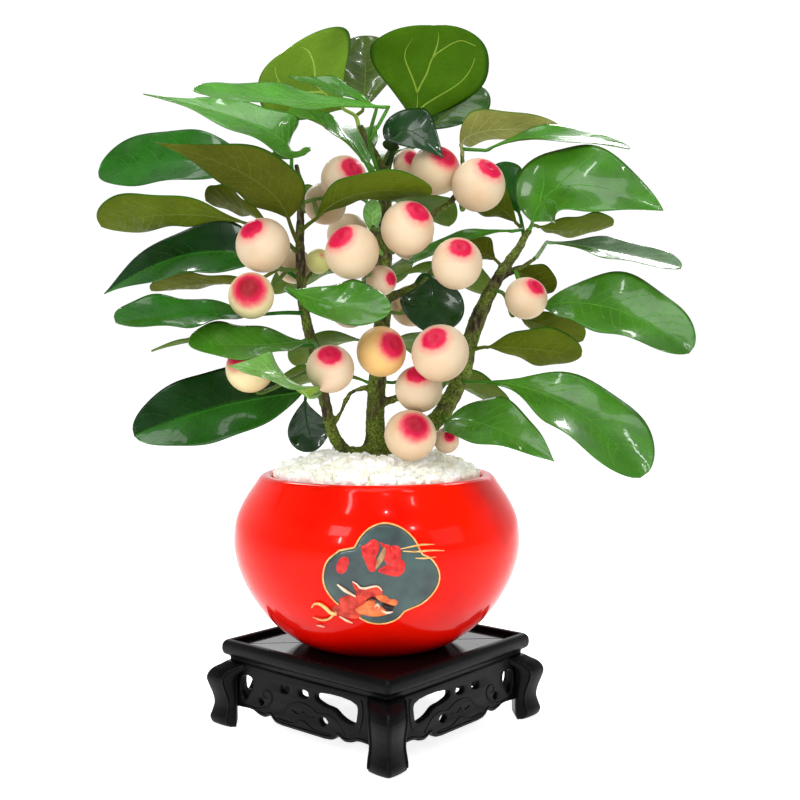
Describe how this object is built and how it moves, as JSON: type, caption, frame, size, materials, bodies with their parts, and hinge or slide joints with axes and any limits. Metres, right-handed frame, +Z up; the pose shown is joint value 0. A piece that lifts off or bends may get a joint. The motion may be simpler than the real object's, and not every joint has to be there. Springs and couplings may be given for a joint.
{
  "type": "fig bonsai in a glazed pot",
  "caption": "Small fig tree bonsai with broad glossy leaves and round pink-eyed figs, in a round red glazed pot with white stones, on a square carved black stand.",
  "frame": {"origin": "middle of the stand's footprint, on the surface it stands on; the pot's axis runs through it", "axes": "+Z up along the pot's axis, -Y to the front, where the pot's medallion and one corner of the stand face"},
  "size_m": [0.3967, 0.2453, 0.4875],
  "materials": {
    "lacquer": "black gloss lacquer",
    "glaze": "gloss",
    "soil": "matte",
    "stones": "matte",
    "bark": "matte, mossy",
    "leaf": "gloss",
    "fig": "satin"
  },
  "bodies": {
    "root": {"stand_apron_back_left": "lacquer", "stand_apron_back_right": "lacquer", "stand_apron_front_left": "lacquer", "stand_apron_front_right": "lacquer", "stand_deck": "lacquer", "stand_frame": "lacquer", "stand_leg_back": "lacquer", "stand_leg_front": "lacquer", "stand_leg_left": "lacquer", "stand_leg_right": "lacquer", "pot": "glaze", "soil": "soil", "stones": "stones", "trunk": "bark", "shoot_arch": "leaf", "shoot_back_low": "leaf", "shoot_back_middle": "leaf", "shoot_back_sides": "leaf", "shoot_back_top": "leaf", "shoot_back_upper": "leaf", "shoot_centre": "leaf", "shoot_crown": "leaf", "shoot_inner_dark": "leaf", "shoot_left_dark": "leaf", "shoot_left_foot": "leaf", "shoot_left_hood": "leaf", "shoot_left_light": "leaf", "shoot_left_low": "leaf", "shoot_left_middle": "leaf", "shoot_left_olive": "leaf", "shoot_left_top": "leaf", "shoot_right_behind": "leaf", "shoot_right_corner": "leaf", "shoot_right_foot": "leaf", "shoot_right_inner": "leaf", "shoot_right_large": "leaf", "shoot_right_low": "leaf", "shoot_right_narrow": "leaf", "shoot_right_olive": "leaf", "shoot_top_front": "leaf", "shoot_top_glossy": "leaf", "shoot_top_left": "leaf", "shoot_upper_left": "leaf", "shoot_upper_tan": "leaf", "shoot_young": "leaf", "figs_back_middle": "fig", "figs_back_upper": "fig", "figs_centre": "fig", "figs_foot": "fig", "figs_inner": "fig", "figs_left": "fig", "figs_left_behind": "fig", "figs_low_left": "fig", "figs_low_middle": "fig", "figs_low_right": "fig", "figs_middle": "fig", "figs_right": "fig", "figs_top": "fig", "figs_upper_left": "fig", "figs_upper_right": "fig"}
  },
  "joints": []
}
